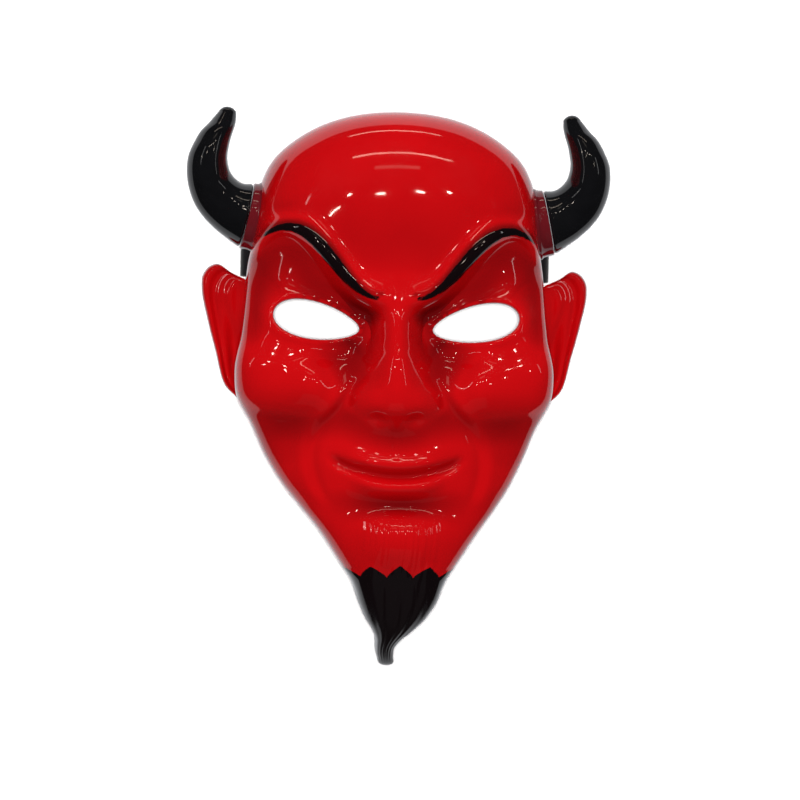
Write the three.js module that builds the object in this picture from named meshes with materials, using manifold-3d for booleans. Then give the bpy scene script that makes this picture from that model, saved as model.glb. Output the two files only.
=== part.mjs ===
// A horned devil mask, lying face up on its rim, in millimetres.
// X runs across the face, Y from the goatee up to the forehead, Z out of the face; the table is Z = 0.
import * as THREE from 'three';
import { mergeVertices } from 'three/addons/utils/BufferGeometryUtils.js';
import Module from 'manifold-3d';

const wasm = await Module();
wasm.setup();

// Outline: where the moulding starts and ends, and its half width and crown height along Y
const maskTop = 139;
const maskBottom = -139;
const middleY = (maskTop + maskBottom) / 2;
const halfLength = (maskTop - maskBottom) / 2;
const halfWidths = [
  [-139, 34], [-136.5, 21], [-132, 14], [-127, 13.5], [-121, 20], [-116, 25.5], [-110, 29], [-95, 33],
  [-87, 37.8], [-72, 46.3], [-60, 54.3], [-50, 60.3], [-37, 66.2], [-20, 71.7], [-8, 77.1], [5, 78.4],
  [25, 76.7], [43, 78.3], [60, 81.8], [72, 84], [85, 91], [100, 100.5], [114, 110.6], [122, 114.8],
  [127.5, 118.8], [133.2, 126], [139, 140],
];
const crownHeights = [
  [-139, 52], [-115, 66], [-95, 72], [-75, 74], [-41, 70], [35, 71], [60, 74], [90, 77], [139, 78],
];
// Level, the two powers of the corner between front and side, and how far the front falls towards it
const sideShapes = [
  [-139, 12, 7, 0.08], [-120, 13, 8, 0.08], [-98, 14, 8, 0.08], [-75, 13, 8, 0.1], [-35, 13, 8, 0.1],
  [-10, 20, 9, 0.08], [35, 20, 9, 0.08], [58, 10, 6, 0.15], [90, 8, 4.5, 0.2], [139, 8, 4.5, 0.2],
];
const wall = 2;
const chinLift = 30;
const chinLiftStart = -62;
const middleLine = [
  [-139, -2.2], [-130, -3.2], [-121, 0], [-108, 2], [-90, 2], [-70, 1.8], [-45, 0], [139, 0],
];

// Face: brows, eye openings, nose and mouth
const brow = { inner: 9, span: 46, middle: 56, rise: 17, height: 4.5, width: 6, undercut: 6 };
const eye = { x: 38.7, y: 30, halfWidth: 21.7, halfHeight: 9.6, tilt: 10.5, fullness: 0.22, lip: 1.6 };
const mouth = { y: -44.5, halfWidth: 28, rise: 6.5, depth: 3.2, width: 2.6 };
const upperLip = { height: 2.4, above: 5.5, width: 3.4, end: 27 };
const lowerLip = { height: 3.2, above: -6, width: 4.4, end: 25 };
const cheekEdge = { y: -15, x: 44, bend: 0.006, height: 3 };
const noseRidge = [
  [-34, 0], [-24, 1.5], [-18, 8.5], [-13, 15], [-6, 18.5], [4, 18.5], [13, 16.5], [22, 13], [32, 8.5],
  [44, 4], [58, 1], [70, 0],
];
const noseHalfWidths = [[-34, 14], [-10, 15.5], [2, 15], [16, 14], [30, 15], [44, 18], [70, 22]];
const locks = { count: 3.5, depth: 0.35 };

// Rounded forms of the face, each with its height, centre, radii, turn in degrees and steepness
const faceMounds = {
  eyeSocket: [-4.5, 36.5, 32, 27, 13, 10.5, 1.5],
  innerSocket: [-3.5, 18, 29, 10, 13, -15, 1.2],
  lids: [3, 38.7, 30, 26, 13, 10.5, 2],
  cheekbone: [5.5, 55, 4, 26, 17, 14, 1.6],
  innerCheek: [3.5, 36, -3, 14, 12, 0, 1.2],
  cheekHollow: [-3.5, 60, -31, 20, 14, -30, 1.2],
  nostrilWing: [4, 15, -9, 8, 7.5, -20, 1.2],
  mouthBarrel: [5.5, 0, -35, 31, 19, 0, 1.4],
  chin: [7.5, 0, -76, 20, 14, 0, 1.2],
  chinCrease: [-3.5, 0, -58, 26, 6, 0, 1],
};

// Strap: its slots in the temples, and the band through them
const strap = { y: 61, width: 14, thickness: 1.2, restZ: 0.15, slack: 28, slackHalfSpan: 54 };
const slot = { z: 8.6, height: 3.4, length: 16.5, rimLift: 3 };
const loop = { inner: 64.5, outer: 78.2, corner: 2.6 };

// Horns and the collars they are seated on, for the +X side.
// Each row of the edges gives a distance along the horn, its inner edge, its outer edge and its height.
const hornRoot = new THREE.Vector3(67.9, 81.4, 27.2);
const hornSeat = new THREE.Vector3(75.7, 83, 28);
const hornAxis = hornSeat.clone().sub(hornRoot).normalize();
const hornEdges = [
  [0, 72.5, 98.8, 78.9, 67.2, 28], [5.5, 77.4, 98.9, 84.2, 70.8, 28.8], [11.9, 81.3, 101.2, 90.8, 75.8, 30],
  [17.8, 83.8, 104.5, 96.6, 81.5, 31.2], [24, 85, 108.7, 101.2, 88.2, 32.5],
  [29.7, 85.2, 112.3, 104, 95.6, 33.4], [35.7, 84.7, 116, 105.2, 104.1, 34],
  [41.4, 84, 119.6, 104.5, 111.8, 34.2], [46.7, 83.1, 123, 101.9, 118.3, 34.1],
  [51.7, 82.1, 126.4, 98.7, 124, 33.6], [56.2, 81.5, 129.6, 95, 128.1, 32.8],
  [62, 81.5, 134, 90.3, 134, 31.6],
];
const horn = { length: 62, settles: 12, tipStart: 0.49, around: 16, steps: 13, capSteps: 2 };
const collar = { length: 8, depth: 14, radius: 16.5, flare: 1.8, wall: 2.4 };
const collarSides = 18;
const seatGap = 0.3;

// Ears: how far up the wall their root runs, and their edge, for the +X side
const ear = { rootFrom: -9, rootTo: 49, rootRise: 0.24, bury: 1.7, thickness: 2.4 };
const earEdge = [
  [0, 76, -11, 17], [0.1, 80, -7, 16], [0.2, 85, -2, 15], [0.4, 90.5, 16, 13.5], [0.58, 95, 32.5, 12],
  [0.72, 98, 47.5, 11], [0.79, 97.5, 54, 10.5], [0.85, 94, 58.5, 10.5], [0.9, 89.5, 59.5, 11.5],
  [0.95, 83.5, 55.5, 14], [1, 76.2, 52, 17],
];

// Grid of the shell: rows lie closer at the mouth and the brows, and bend along both lines.
// Each eye opening takes out a block of cells. The inner face has every second row and column.
const columns = 40;
const rows = 56;
const rowStops = [
  [0, -1], [6, -0.76], [13, -0.465], [25, -0.195], [34, 0.09], [40, 0.27], [48, 0.48], [56, 1],
];
const eyeCells = { left: 26, right: 32, low: 36, high: 40 };
const eyeBlend = 2;
const innerStep = 2;
const rowBend = { brow: 28, mouth: 14 };

function smoothStep(from, to, value) {
  const t = Math.min(Math.max((value - from) / (to - from), 0), 1);
  return t * t * (3 - 2 * t);
}

function ridgeLine(distance, width) {
  return Math.exp(-((distance / width) ** 2));
}

function mound(x, y, centreX, centreY, radiusX, radiusY, turn = 0, power = 1) {
  const angle = THREE.MathUtils.degToRad(turn);
  const along = ((x - centreX) * Math.cos(angle) + (y - centreY) * Math.sin(angle)) / radiusX;
  const across = ((y - centreY) * Math.cos(angle) - (x - centreX) * Math.sin(angle)) / radiusY;
  return Math.exp(-((along * along + across * across) ** power));
}

// Smooth curve through points given as [position, value, ...]
function curveThrough(points, position, column = 1) {
  const last = points.length - 1;
  const at = Math.min(Math.max(position, points[0][0]), points[last][0]);
  const rise = (i) => (points[i + 1][column] - points[i][column]) / (points[i + 1][0] - points[i][0]);
  const slope = (i) => {
    if (i === 0) return rise(0);
    if (i === last) return rise(last - 1);
    const before = points[i][0] - points[i - 1][0];
    const after = points[i + 1][0] - points[i][0];
    return (before * rise(i) + after * rise(i - 1)) / (before + after);
  };
  let i = 0;
  while (i < last - 1 && at > points[i + 1][0]) i += 1;
  const h = points[i + 1][0] - points[i][0];
  const t = (at - points[i][0]) / h;
  return (1 + 2 * t) * (1 - t) ** 2 * points[i][column] + t * (1 - t) ** 2 * h * slope(i)
    + t * t * (3 - 2 * t) * points[i + 1][column] + t * t * (t - 1) * h * slope(i + 1);
}

// Height of the rim: lifted under the chin, and where the strap passes under it
function rimHeight(y) {
  return chinLift * smoothStep(chinLiftStart, maskBottom, y)
    + slot.rimLift * Math.exp(-(((y - strap.y) / 11) ** 4));
}

// How far out a plan point is: 0 at the middle, 1 on the outline
function reachOut(x, y) {
  return Math.min(Math.hypot(x / curveThrough(halfWidths, y), (y - middleY) / halfLength), 1);
}

// Share of the height from the rim: 1 on the crown, 0 on the rim, also where rounding leaves a trace
function crownShare(x, y) {
  const fromRim = 1 - reachOut(x, y) ** curveThrough(sideShapes, y);
  return fromRim < 1e-6 ? 0 : fromRim ** (1 / curveThrough(sideShapes, y, 2));
}

function browLine(side) {
  const along = Math.min(Math.max((side - brow.inner) / brow.span, 0), 1.28);
  return {
    y: brow.middle - brow.rise * Math.cos(Math.PI * along),
    slope: (brow.rise * Math.PI / brow.span) * Math.sin(Math.PI * along),
  };
}

function brows(side, y) {
  const line = browLine(side);
  const above = (y - line.y) / Math.hypot(1, line.slope);
  const inBrow = smoothStep(3, 12, side) * (1 - smoothStep(64, 76, side));
  const underBrow = smoothStep(1.5, -6, above) * smoothStep(-44, -12, above) * smoothStep(0, 15, side);
  return brow.height * ridgeLine(above - 2.5, brow.width) * inBrow
    - brow.undercut * underBrow * (1 - smoothStep(66, 79, side));
}

function cheekFold(side, y) {
  const above = y - cheekEdge.y - cheekEdge.bend * (side - cheekEdge.x) ** 2;
  return cheekEdge.height * smoothStep(-5, 4, above) * smoothStep(36, 6, above) * smoothStep(24, 40, side);
}

function nose(side, y) {
  return curveThrough(noseRidge, y) * Math.exp(-0.9 * (side / curveThrough(noseHalfWidths, y)) ** 2);
}

function mouthLine(side) {
  return mouth.y + mouth.rise * (side / mouth.halfWidth) ** 2;
}

function lips(side, y) {
  const above = y - mouthLine(side);
  const lip = (form) =>
    form.height * ridgeLine(above - form.above, form.width) * (1 - smoothStep(12, form.end, side));
  const shut = 1 - smoothStep(mouth.halfWidth - 2, mouth.halfWidth + 6, side);
  return lip(upperLip) + lip(lowerLip) - mouth.depth * ridgeLine(above, mouth.width) * shut;
}

// Locks of the goatee, drawn together towards its tip
function goateeLocks(x, y) {
  const across = x / curveThrough(halfWidths, y);
  return locks.depth * Math.cos(2 * Math.PI * locks.count * across) * smoothStep(-90, -104, y);
}

function faceForms(x, y) {
  const side = Math.sqrt(x * x + 4) - 0.6;
  const lines = brows(side, y) + cheekFold(side, y) + nose(side, y) + lips(side, y);
  const addMound = (sum, [height, ...shape]) => sum + height * mound(side, y, ...shape);
  return Object.values(faceMounds).reduce(addMound, lines);
}

function eyeLocal(side, y) {
  const angle = THREE.MathUtils.degToRad(eye.tilt);
  const along = ((side - eye.x) * Math.cos(angle) + (y - eye.y) * Math.sin(angle)) / eye.halfWidth;
  const across = ((y - eye.y) * Math.cos(angle) - (side - eye.x) * Math.sin(angle)) / eye.halfHeight;
  return Math.hypot(along, across / (1 + eye.fullness * Math.min(along, 1)));
}

function onShell(x, y, forms) {
  const share = crownShare(x, y);
  const rim = rimHeight(y);
  const crown = curveThrough(crownHeights, y) * (1 - curveThrough(sideShapes, y, 3) * reachOut(x, y) ** 2);
  return rim + (crown - rim) * share + forms * smoothStep(0.1, 0.5, share);
}

function outerHeight(x, y) {
  const lip = eye.lip * ridgeLine((eyeLocal(Math.abs(x), y) - 1.06) * eye.halfHeight, 2.2);
  return onShell(x, y, faceForms(x, y) + goateeLocks(x, y) + lip);
}

// The middle line wanders to one side at the chin and to the other at the goatee's tip
function curl(y) {
  return curveThrough(middleLine, y);
}

// A square grid position (-1..1 each way) laid out on the mask's outline
function planPoint(s, t) {
  const p = s * Math.sqrt(1 - t * t / 2);
  const q = t * Math.sqrt(1 - s * s / 2);
  const rho = Math.max(Math.hypot(p, q), 1e-9);
  const phi = (0.6 * rho + 0.4 * rho ** 3) * Math.PI / 2;
  const flat = Math.sin(phi);
  const reach = flat / (Math.cos(phi) ** 4 + flat ** 4) ** 0.25;
  const y = middleY + halfLength * q * reach / rho;
  return [p * reach / rho * curveThrough(halfWidths, y), y];
}

function eyeOutline(angle) {
  const u = eye.halfWidth * Math.cos(angle);
  const v = eye.halfHeight * Math.sin(angle) * (1 + eye.fullness * Math.cos(angle));
  const tilt = THREE.MathUtils.degToRad(eye.tilt);
  return [eye.x + u * Math.cos(tilt) - v * Math.sin(tilt), eye.y + u * Math.sin(tilt) + v * Math.cos(tilt)];
}

// A row bends along the brows and the mouth, and keeps its ends on the outline
function bentPoint(s, t) {
  const [x, y] = planPoint(s, t);
  const side = Math.abs(x);
  const browBend = (browLine(side).y - brow.middle) * ridgeLine(y - brow.middle, rowBend.brow);
  const inMouth = Math.min(side, mouth.halfWidth);
  const mouthBend = (mouthLine(inMouth) - mouth.y) * ridgeLine(y - mouth.y, rowBend.mouth);
  return planPoint(s, t + (browBend + mouthBend) / halfLength * (1 - t ** 4));
}

// Plan position of a grid corner, drawn onto the eye's outline near each eye opening
function gridPoint(column, row) {
  const mirrored = Math.max(column, columns - column);
  const side = column < columns / 2 ? -1 : 1;
  const [x, y] = bentPoint(2 * mirrored / columns - 1, curveThrough(rowStops, row));
  const a = (mirrored - (eyeCells.left + eyeCells.right) / 2) / ((eyeCells.right - eyeCells.left) / 2);
  const b = (row - (eyeCells.low + eyeCells.high) / 2) / ((eyeCells.high - eyeCells.low) / 2);
  const ring = Math.max(Math.abs(a), Math.abs(b));
  const away = smoothStep(1, eyeBlend, ring);
  const [edgeX, edgeY] = eyeOutline(Math.atan2(b, a));
  const drawnX = eye.x + (edgeX - eye.x) * ring;
  const drawnY = eye.y + (edgeY - eye.y) * ring;
  return [side * (drawnX + (x - drawnX) * away), drawnY + (y - drawnY) * away];
}

function inEyeOpening(row, column) {
  const mirrored = Math.max(column, columns - 1 - column);
  return row >= eyeCells.low && row < eyeCells.high && mirrored >= eyeCells.left && mirrored < eyeCells.right;
}

function gridOf(rowCount, columnCount, place) {
  return Array.from({ length: rowCount + 1 }, (_, row) =>
    Array.from({ length: columnCount + 1 }, (__, column) => place(column, row)));
}

// A closed solid between two grids of points, the back one with every backStep-th row and column.
// Blocks of cells that aren't kept become openings.
function solidBetween(front, back, backStep = 1, kept = () => true) {
  const rowCount = front.length - 1;
  const columnCount = front[0].length - 1;
  const size = (rowCount + 1) * (columnCount + 1);
  const points = [...front.flat(), ...back.flat()];
  const index = [];
  const at = (row, column) => row * (columnCount + 1) + column;
  const quad = (a, b, c, d) => {
    if (points[a].distanceTo(points[c]) < points[b].distanceTo(points[d])) index.push(a, b, c, a, c, d);
    else index.push(a, b, d, b, c, d);
  };
  const filled = (row, column) =>
    row >= 0 && column >= 0 && row < rowCount && column < columnCount && kept(row, column);
  const edgeStrip = (row, column, rowWay, columnWay) => {
    const step = (_, i) => at(row + i * rowWay, column + i * columnWay);
    const line = Array.from({ length: backStep + 1 }, step);
    const middle = Math.ceil(backStep / 2);
    const [start, end] = [size + line[0], size + line[backStep]];
    for (let i = 0; i < backStep; i += 1) index.push(line[i + 1], line[i], i < middle ? start : end);
    index.push(line[middle], start, end);
  };
  for (let row = 0; row < rowCount; row += backStep) {
    for (let column = 0; column < columnCount; column += backStep) {
      if (!filled(row, column)) continue;
      const [top, right] = [row + backStep, column + backStep];
      for (let cell = 0; cell < backStep ** 2; cell += 1) {
        const a = at(row + Math.floor(cell / backStep), column + cell % backStep);
        quad(a, a + 1, a + columnCount + 2, a + columnCount + 1);
      }
      quad(size + at(row, column), size + at(top, column), size + at(top, right), size + at(row, right));
      if (!filled(row - backStep, column)) edgeStrip(row, column, 0, 1);
      if (!filled(row, right)) edgeStrip(row, right, 1, 0);
      if (!filled(top, column)) edgeStrip(top, right, 0, -1);
      if (!filled(row, column - backStep)) edgeStrip(top, column, -1, 0);
    }
  }
  const geometry = new THREE.BufferGeometry().setFromPoints(points);
  geometry.setIndex(index);
  return geometry;
}

function toSolid(geometry) {
  const bare = geometry.clone();
  bare.deleteAttribute('normal');
  bare.deleteAttribute('uv');
  const merged = mergeVertices(bare, 1e-4);
  return new wasm.Manifold(new wasm.Mesh({
    numProp: 3,
    vertProperties: new Float32Array(merged.attributes.position.array),
    triVerts: new Uint32Array(merged.index.array),
  }));
}

function toGeometry(solid) {
  const mesh = solid.getMesh();
  const geometry = new THREE.BufferGeometry();
  geometry.setAttribute('position', new THREE.BufferAttribute(mesh.vertProperties, mesh.numProp));
  geometry.setIndex(new THREE.BufferAttribute(mesh.triVerts, 1));
  return geometry;
}

function surfaceGrid(plan, height) {
  return plan.map((line, row) => line.map(([x, y], column) =>
    new THREE.Vector3(x + curl(y), y, height(x, y, row, column))));
}

function loweredGrid(grid, z) {
  return grid.map((line) => line.map((point) => point.clone().setZ(z)));
}

// The inner face lies one wall thickness behind the surface, straight behind it on the front of the
// face and square to it on the sides, and ends level with it at the rim.
// Each of its corners takes the lowest form around it, so the wall is never thinner in a hollow.
function innerGrid(plan) {
  const forms = plan.map((line) => line.map(([x, y]) => faceForms(x, y)));
  const lowest = (row, column) => Math.min(...[-1, 0, 1].flatMap((up) => [-1, 0, 1].map((over) =>
    forms[row + up]?.[column + over] ?? Infinity)));
  const smooth = surfaceGrid(plan, (x, y, row, column) => onShell(x, y, lowest(row, column)));
  const sheet = solidBetween(smooth, loweredGrid(smooth, -40));
  sheet.computeVertexNormals();
  const normals = sheet.attributes.normal;
  return smooth.map((line, row) => line.map((point, column) => {
    const normal = new THREE.Vector3().fromBufferAttribute(normals, row * (columns + 1) + column);
    const onRim = row === 0 || column === 0 || row === rows || column === columns;
    if (onRim) normal.setZ(0).normalize();
    const onFront = smoothStep(0.8, 0.97, crownShare(...plan[row][column]));
    normal.lerp(new THREE.Vector3(0, 0, 1), onFront).normalize();
    return point.clone().addScaledVector(normal, -wall);
  }));
}

function earRoot(a) {
  const y = ear.rootFrom + (ear.rootTo - ear.rootFrom) * a;
  const reach = (1 - ear.rootRise ** curveThrough(sideShapes, y, 2)) ** (1 / curveThrough(sideShapes, y));
  const along = (y - middleY) / halfLength;
  const x = curveThrough(halfWidths, y) * Math.sqrt(reach ** 2 - along ** 2);
  return new THREE.Vector3(x - ear.bury, y, onShell(x, y, 0));
}

function earRelief(a, b) {
  return 2.6 * ridgeLine(b - 0.9, 0.13) * smoothStep(0, 0.12, a) * smoothStep(1, 0.9, a)
    - 5 * mound(a, b, 0.42, 0.36, 0.27, 0.25, 0, 1.2)
    + 1.2 * ridgeLine(b - 0.6 + 0.1 * a, 0.16) * smoothStep(0.2, 0.4, a) * smoothStep(0.95, 0.7, a);
}

// An ear: a cupped leaf of sheet with a rolled outer edge, rooted in the side wall
function earSolid(side) {
  const along = 12;
  const across = 6;
  const front = gridOf(along, across, (column, row) => {
    const a = row / along;
    const b = column / across;
    const edge = new THREE.Vector3(...[1, 2, 3].map((axis) => curveThrough(earEdge, a, axis)));
    const point = earRoot(a).lerp(edge, b);
    point.z += earRelief(a, b);
    return point;
  });
  const back = front.map((line) => line.map((point) => point.clone().setZ(point.z - ear.thickness)));
  const solid = toSolid(solidBetween(front, back));
  return side > 0 ? solid : solid.mirror([1, 0, 0]);
}

function placedCylinder(from, to, startRadius, endRadius) {
  const axis = new THREE.Vector3().subVectors(to, from);
  const geometry = new THREE.CylinderGeometry(endRadius, startRadius, axis.length(), collarSides);
  geometry.translate(0, axis.length() / 2, 0);
  const upright = new THREE.Vector3(0, 1, 0);
  geometry.applyQuaternion(new THREE.Quaternion().setFromUnitVectors(upright, axis.normalize()));
  return toSolid(geometry.translate(from.x, from.y, from.z));
}

function mirroredPoint(point, side) {
  return new THREE.Vector3(side * point.x, point.y, point.z);
}

// A point on the collar's axis, by its distance from the horn's root
function collarPoint(travel, side) {
  return mirroredPoint(hornRoot.clone().addScaledVector(hornAxis, travel), side);
}

function collarSolid(side) {
  const from = collarPoint(-collar.depth, side);
  return placedCylinder(from, collarPoint(collar.length, side), collar.radius + collar.flare, collar.radius);
}

function collarHollow(side) {
  const from = collarPoint(-2 * collar.depth, side);
  const radius = collar.radius - collar.wall;
  return placedCylinder(from, collarPoint(collar.length - collar.wall, side), radius, radius);
}

function slotCut(side) {
  const box = new THREE.BoxGeometry(16, slot.length, slot.height);
  return toSolid(box.translate(side * (loop.inner + loop.outer) / 2, strap.y, slot.z));
}

function maskShell() {
  const plan = gridOf(rows, columns, gridPoint);
  const inner = innerGrid(plan);
  const coarse = inner.filter((_, row) => row % innerStep === 0)
    .map((line) => line.filter((_, column) => column % innerStep === 0));
  const hollow = toSolid(solidBetween(coarse, loweredGrid(coarse, -20)));
  const kept = (row, column) => !inEyeOpening(row, column);
  const skin = solidBetween(surfaceGrid(plan, outerHeight), inner, innerStep, kept);
  let shell = toSolid(skin);
  for (const side of [-1, 1]) {
    shell = shell.add(earSolid(side).add(collarSolid(side)).subtract(hollow));
    shell = shell.subtract(collarHollow(side)).subtract(slotCut(side));
  }
  return toGeometry(shell);
}

// A round section of the horn, which spans from its inner to its outer edge. The tip is the end of a
// ball: the angle of its sections rises from tipStart, where it meets the body, to a right angle.
function hornRing(travel, angle = horn.tipStart) {
  const valueOf = (column) => curveThrough(hornEdges, travel, column);
  const [innerX, innerY, outerX, outerY, z] = [1, 2, 3, 4, 5].map(valueOf);
  const centre = new THREE.Vector3((innerX + outerX) / 2, (innerY + outerY) / 2, z);
  const out = new THREE.Vector3(outerX - innerX, outerY - innerY, 0).divideScalar(2);
  const radius = out.length();
  const shrink = Math.cos(angle) / Math.cos(horn.tipStart);
  const advance = radius * (Math.sin(angle) - Math.sin(horn.tipStart)) / Math.cos(horn.tipStart);
  const up = new THREE.Vector3().crossVectors(out, hornAxis).normalize();
  up.lerp(new THREE.Vector3(0, 0, 1), smoothStep(0, horn.settles, travel)).normalize();
  const ahead = new THREE.Vector3().crossVectors(up, out).normalize();
  centre.addScaledVector(hornAxis, seatGap).addScaledVector(ahead, advance);
  return Array.from({ length: horn.around }, (_, i) => {
    const turn = 2 * Math.PI * i / horn.around;
    return centre.clone().addScaledVector(out, Math.cos(turn) * shrink)
      .addScaledVector(up, radius * Math.sin(turn) * shrink);
  });
}

function hornGeometry(side) {
  const rings = [];
  for (let i = 0; i <= horn.steps; i += 1) rings.push(hornRing(horn.length * i / horn.steps));
  for (let i = 1; i <= horn.capSteps; i += 1) {
    const share = i / (horn.capSteps + 1);
    rings.push(hornRing(horn.length, horn.tipStart + (Math.PI / 2 - horn.tipStart) * share));
  }
  const middleOf = (ring) =>
    ring.reduce((sum, point) => sum.add(point), new THREE.Vector3()).divideScalar(ring.length);
  const tip = middleOf(hornRing(horn.length, Math.PI / 2));
  const vertices = [...rings.flat(), middleOf(rings[0]), tip];
  const index = [];
  const [seatIndex, tipIndex] = [vertices.length - 2, vertices.length - 1];
  const last = (rings.length - 1) * horn.around;
  for (let i = 0; i < horn.around; i += 1) {
    const next = (i + 1) % horn.around;
    for (let a = 0; a < last; a += horn.around) {
      const b = a + horn.around;
      index.push(a + i, b + next, a + next, a + i, b + i, b + next);
    }
    index.push(seatIndex, i, next, tipIndex, last + next, last + i);
  }
  const geometry = new THREE.BufferGeometry().setFromPoints(vertices);
  geometry.setIndex(index);
  const solid = toSolid(geometry);
  return toGeometry(side > 0 ? solid : solid.mirror([1, 0, 0]));
}

function roundedRectangle(path, left, right, low, high, corner) {
  path.absarc(right - corner, high - corner, corner, 0, Math.PI / 2);
  path.absarc(left + corner, high - corner, corner, Math.PI / 2, Math.PI);
  path.absarc(left + corner, low + corner, corner, Math.PI, 1.5 * Math.PI);
  path.absarc(right - corner, low + corner, corner, 1.5 * Math.PI, 2 * Math.PI);
  path.closePath();
  return path;
}

// The strap is drawn in X and Z and carried across its width
function acrossStrap(shape) {
  const settings = { depth: strap.width, bevelEnabled: false, curveSegments: 3 };
  const geometry = new THREE.ExtrudeGeometry(shape, settings);
  return geometry.rotateX(Math.PI / 2).translate(0, strap.y + strap.width / 2, 0);
}

function strapLoop(side) {
  const half = strap.thickness / 2;
  const low = strap.restZ + half;
  const [left, right] = side > 0 ? [loop.inner, loop.outer] : [-loop.outer, -loop.inner];
  const outlineAt = (path, grow) =>
    roundedRectangle(path, left - grow, right + grow, low - grow, slot.z + grow, loop.corner + grow);
  const ring = outlineAt(new THREE.Shape(), half);
  ring.holes.push(outlineAt(new THREE.Path(), -half));
  return toSolid(acrossStrap(ring));
}

function strapGeometry() {
  const steps = 28;
  const half = strap.thickness / 2;
  const end = loop.inner + loop.corner + 1;
  const lower = [];
  const upper = [];
  for (let i = 0; i <= steps; i += 1) {
    const x = -end + 2 * end * i / steps;
    const turn = Math.PI * Math.min(Math.abs(x) / strap.slackHalfSpan, 1);
    const z = strap.restZ + half + strap.slack / 2 * (1 + Math.cos(turn));
    const slope = -strap.slack / 2 * Math.PI / strap.slackHalfSpan * Math.sin(turn) * Math.sign(x);
    const normal = new THREE.Vector2(-slope, 1).setLength(half);
    lower.push(new THREE.Vector2(x - normal.x, z - normal.y));
    upper.unshift(new THREE.Vector2(x + normal.x, z + normal.y));
  }
  const band = toSolid(acrossStrap(new THREE.Shape([...lower, ...upper])));
  return toGeometry(band.add(strapLoop(-1)).add(strapLoop(1)));
}

const redPlastic = { color: 0xc4060c, roughness: 0.12, metalness: 0 };
const blackPlastic = { color: 0x0b0a0c, roughness: 0.1, metalness: 0 };
const blackElastic = { color: 0x121214, roughness: 0.95, metalness: 0 };

const mask = new THREE.Group();
function addPiece(name, geometry, look) {
  const piece = new THREE.Mesh(geometry, new THREE.MeshStandardMaterial({ ...look, flatShading: true }));
  piece.name = name;
  mask.add(piece);
}

addPiece('mask_shell', maskShell(), redPlastic);
addPiece('horn_left', hornGeometry(-1), blackPlastic);
addPiece('horn_right', hornGeometry(1), blackPlastic);
addPiece('strap', strapGeometry(), blackElastic);

export default mask;
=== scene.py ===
import math
import time

import bmesh
import bpy
import numpy as np
from mathutils import Matrix, Vector


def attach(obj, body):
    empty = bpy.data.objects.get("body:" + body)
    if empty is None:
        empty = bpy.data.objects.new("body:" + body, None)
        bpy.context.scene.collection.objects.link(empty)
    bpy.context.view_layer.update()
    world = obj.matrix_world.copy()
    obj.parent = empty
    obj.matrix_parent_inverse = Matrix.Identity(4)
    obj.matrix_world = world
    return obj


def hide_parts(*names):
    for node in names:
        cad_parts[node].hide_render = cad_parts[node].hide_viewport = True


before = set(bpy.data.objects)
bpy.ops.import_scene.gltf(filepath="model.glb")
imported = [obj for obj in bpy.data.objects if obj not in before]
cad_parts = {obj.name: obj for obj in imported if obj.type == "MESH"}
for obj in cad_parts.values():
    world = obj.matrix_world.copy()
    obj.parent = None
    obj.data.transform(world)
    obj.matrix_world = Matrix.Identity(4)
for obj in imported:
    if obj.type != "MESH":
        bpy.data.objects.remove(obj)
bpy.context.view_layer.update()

startTime = time.time()
mm = 0.001  # shapes are worked out in millimetres in the part's frame, and stored in metres


def report(words):
    print(f"{words} ({time.time() - startTime:.1f} s)")


# 0 before start, 1 after end, with an even S between them
def smoothStep(start, end, value):
    t = np.clip((value - start) / (end - start), 0, 1)
    return t * t * (3 - 2 * t)


# bell curve of height 1 across a line
def ridgeLine(distance, width):
    return np.exp(-((distance / width) ** 2))


# the bell curve with its height, or its depth where that is negative, its place and its width
def crease(distance, height, place, width):
    return height * ridgeLine(distance - place, width)


# rounded form of height 1: the exponential of minus the turned, scaled distance to the power 2 x power
def mound(x, y, centreX, centreY, radiusX, radiusY, turn=0, power=1):
    c, s = math.cos(math.radians(turn)), math.sin(math.radians(turn))
    along = ((x - centreX) * c + (y - centreY) * s) / radiusX
    across = ((y - centreY) * c - (x - centreX) * s) / radiusY
    return np.exp(-((along * along + across * across) ** power))


# cubic curve through points [position, value, ...], each slope the weighted mean of its neighbours'
def curveThrough(points, position, column=1):
    points = np.array(points, float)
    place, value = points[:, 0], points[:, column]
    slope = np.gradient(value, place)
    at = np.clip(position, place[0], place[-1])
    i = np.clip(np.searchsorted(place, at) - 1, 0, len(place) - 2)
    h = place[i + 1] - place[i]
    t = (at - place[i]) / h
    return ((1 + 2 * t) * (1 - t) ** 2 * value[i] + t * (1 - t) ** 2 * h * slope[i]
            + t * t * (3 - 2 * t) * value[i + 1] + t * t * (t - 1) * h * slope[i + 1])


def unit(vectors):
    return vectors / np.maximum(np.linalg.norm(vectors, axis=-1, keepdims=True), 1e-9)


# lowest value or mean within some cells of each grid point
def spread(values, reach, pick):
    padded = np.pad(values, reach, mode="edge")
    rows, columns = values.shape
    across = pick([padded[:, i:i + columns] for i in range(2 * reach + 1)], axis=0)
    return pick([across[i:i + rows] for i in range(2 * reach + 1)], axis=0)


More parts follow.
